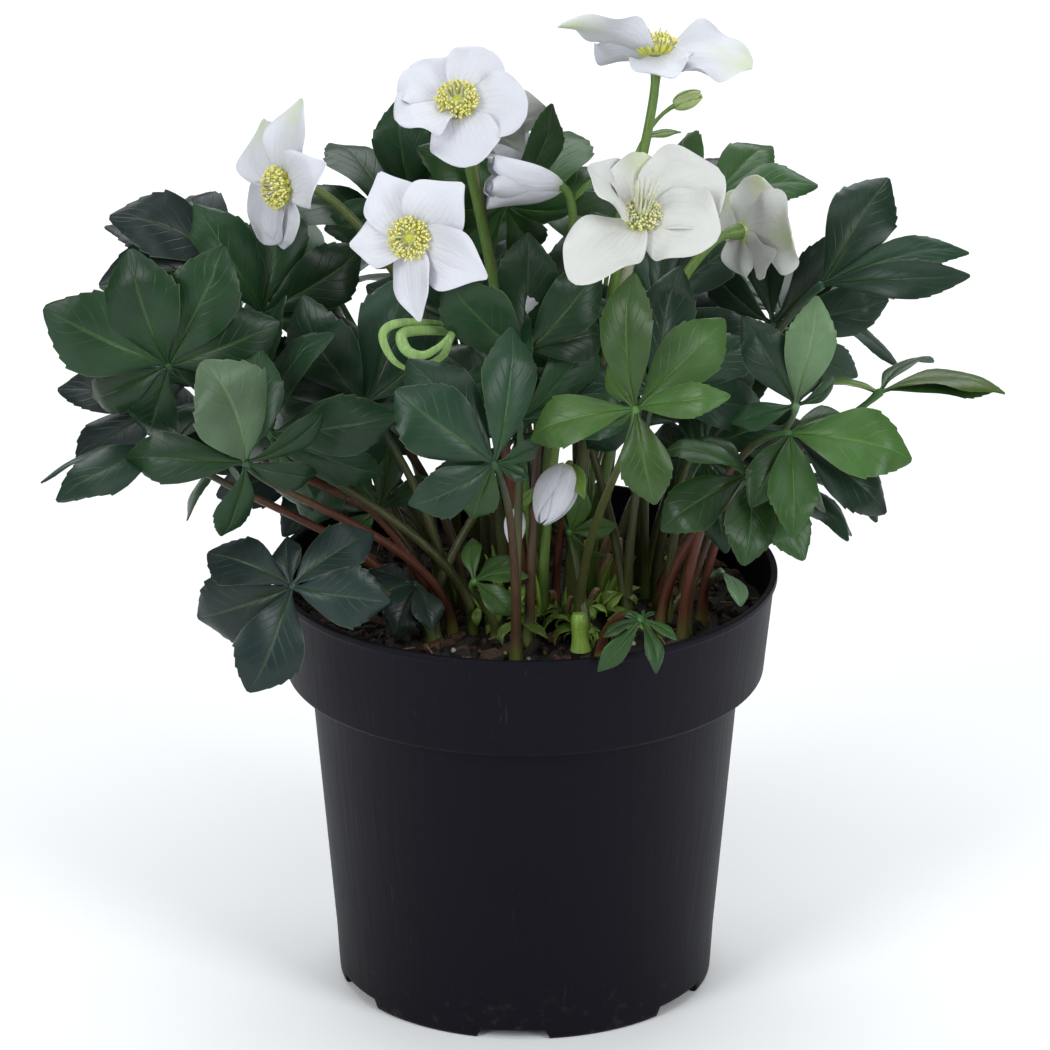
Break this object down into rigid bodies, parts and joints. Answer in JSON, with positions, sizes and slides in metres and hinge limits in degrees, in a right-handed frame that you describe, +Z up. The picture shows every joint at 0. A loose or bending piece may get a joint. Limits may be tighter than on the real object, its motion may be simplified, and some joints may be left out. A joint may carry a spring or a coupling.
{
  "type": "potted christmas rose plant",
  "caption": "Christmas rose in flower: a clump of stalked, fan-shaped leaves with white open blooms and buds above them, in a tapered black nursery pot filled with compost.",
  "frame": {"origin": "centre of the pot's flat underside, on the floor", "axes": "+Z up along the pot's axis; +Y towards the back of the plant and -Y towards the side its large blooms face; +X to the right seen from -Y"},
  "size_m": [0.4411, 0.3345, 0.4565],
  "materials": {
    "pot_plastic": "satin",
    "compost": "matte",
    "rootstock": "matte",
    "leaf": "satin",
    "flower_stalk": "satin",
    "petal": "matte",
    "bud": "matte"
  },
  "bodies": {
    "root": {"bloom_back_left": "petal", "bloom_behind": "petal", "bloom_far_left": "petal", "bloom_front_left": "petal", "bloom_front_right": "petal", "bloom_right": "petal", "bloom_top_left": "petal", "bloom_top_right": "petal", "bud_green": "bud", "bud_half_open": "bud", "bud_hanging": "bud", "bud_low": "bud", "bud_nodding": "bud", "compost": "compost", "leaf_back_high_1": "leaf", "leaf_back_high_2": "leaf", "leaf_back_high_3": "leaf", "leaf_back_low_1": "leaf", "leaf_back_low_2": "leaf", "leaf_back_low_3": "leaf", "leaf_back_low_4": "leaf", "leaf_back_mid_1": "leaf", "leaf_back_mid_2": "leaf", "leaf_back_mid_3": "leaf", "leaf_back_mid_4": "leaf", "leaf_back_mid_5": "leaf", "leaf_centre_bright": "leaf", "leaf_centre_left": "leaf", "leaf_far_right": "leaf", "leaf_front_small": "leaf", "leaf_left_inner": "leaf", "leaf_left_light": "leaf", "leaf_left_low": "leaf", "leaf_left_mid": "leaf", "leaf_left_tall": "leaf", "leaf_left_upright": "leaf", "leaf_lower_left": "leaf", "leaf_lower_right": "leaf", "leaf_mid_front": "leaf", "leaf_mid_high": "leaf", "leaf_right_low": "leaf", "leaf_right_skirt": "leaf", "leaf_right_upright": "leaf", "leaf_top_left": "leaf", "leaf_top_mid": "leaf", "leaf_top_right": "leaf", "leaf_upper_left": "leaf", "leaf_upper_right": "leaf", "pot": "pot_plastic", "rootstock": "rootstock", "stalk_back_left": "flower_stalk", "stalk_behind": "flower_stalk", "stalk_far_left": "flower_stalk", "stalk_front_left": "flower_stalk", "stalk_front_right": "flower_stalk", "stalk_right": "flower_stalk", "stalk_top_left": "flower_stalk", "stalk_top_right": "flower_stalk"}
  },
  "joints": []
}
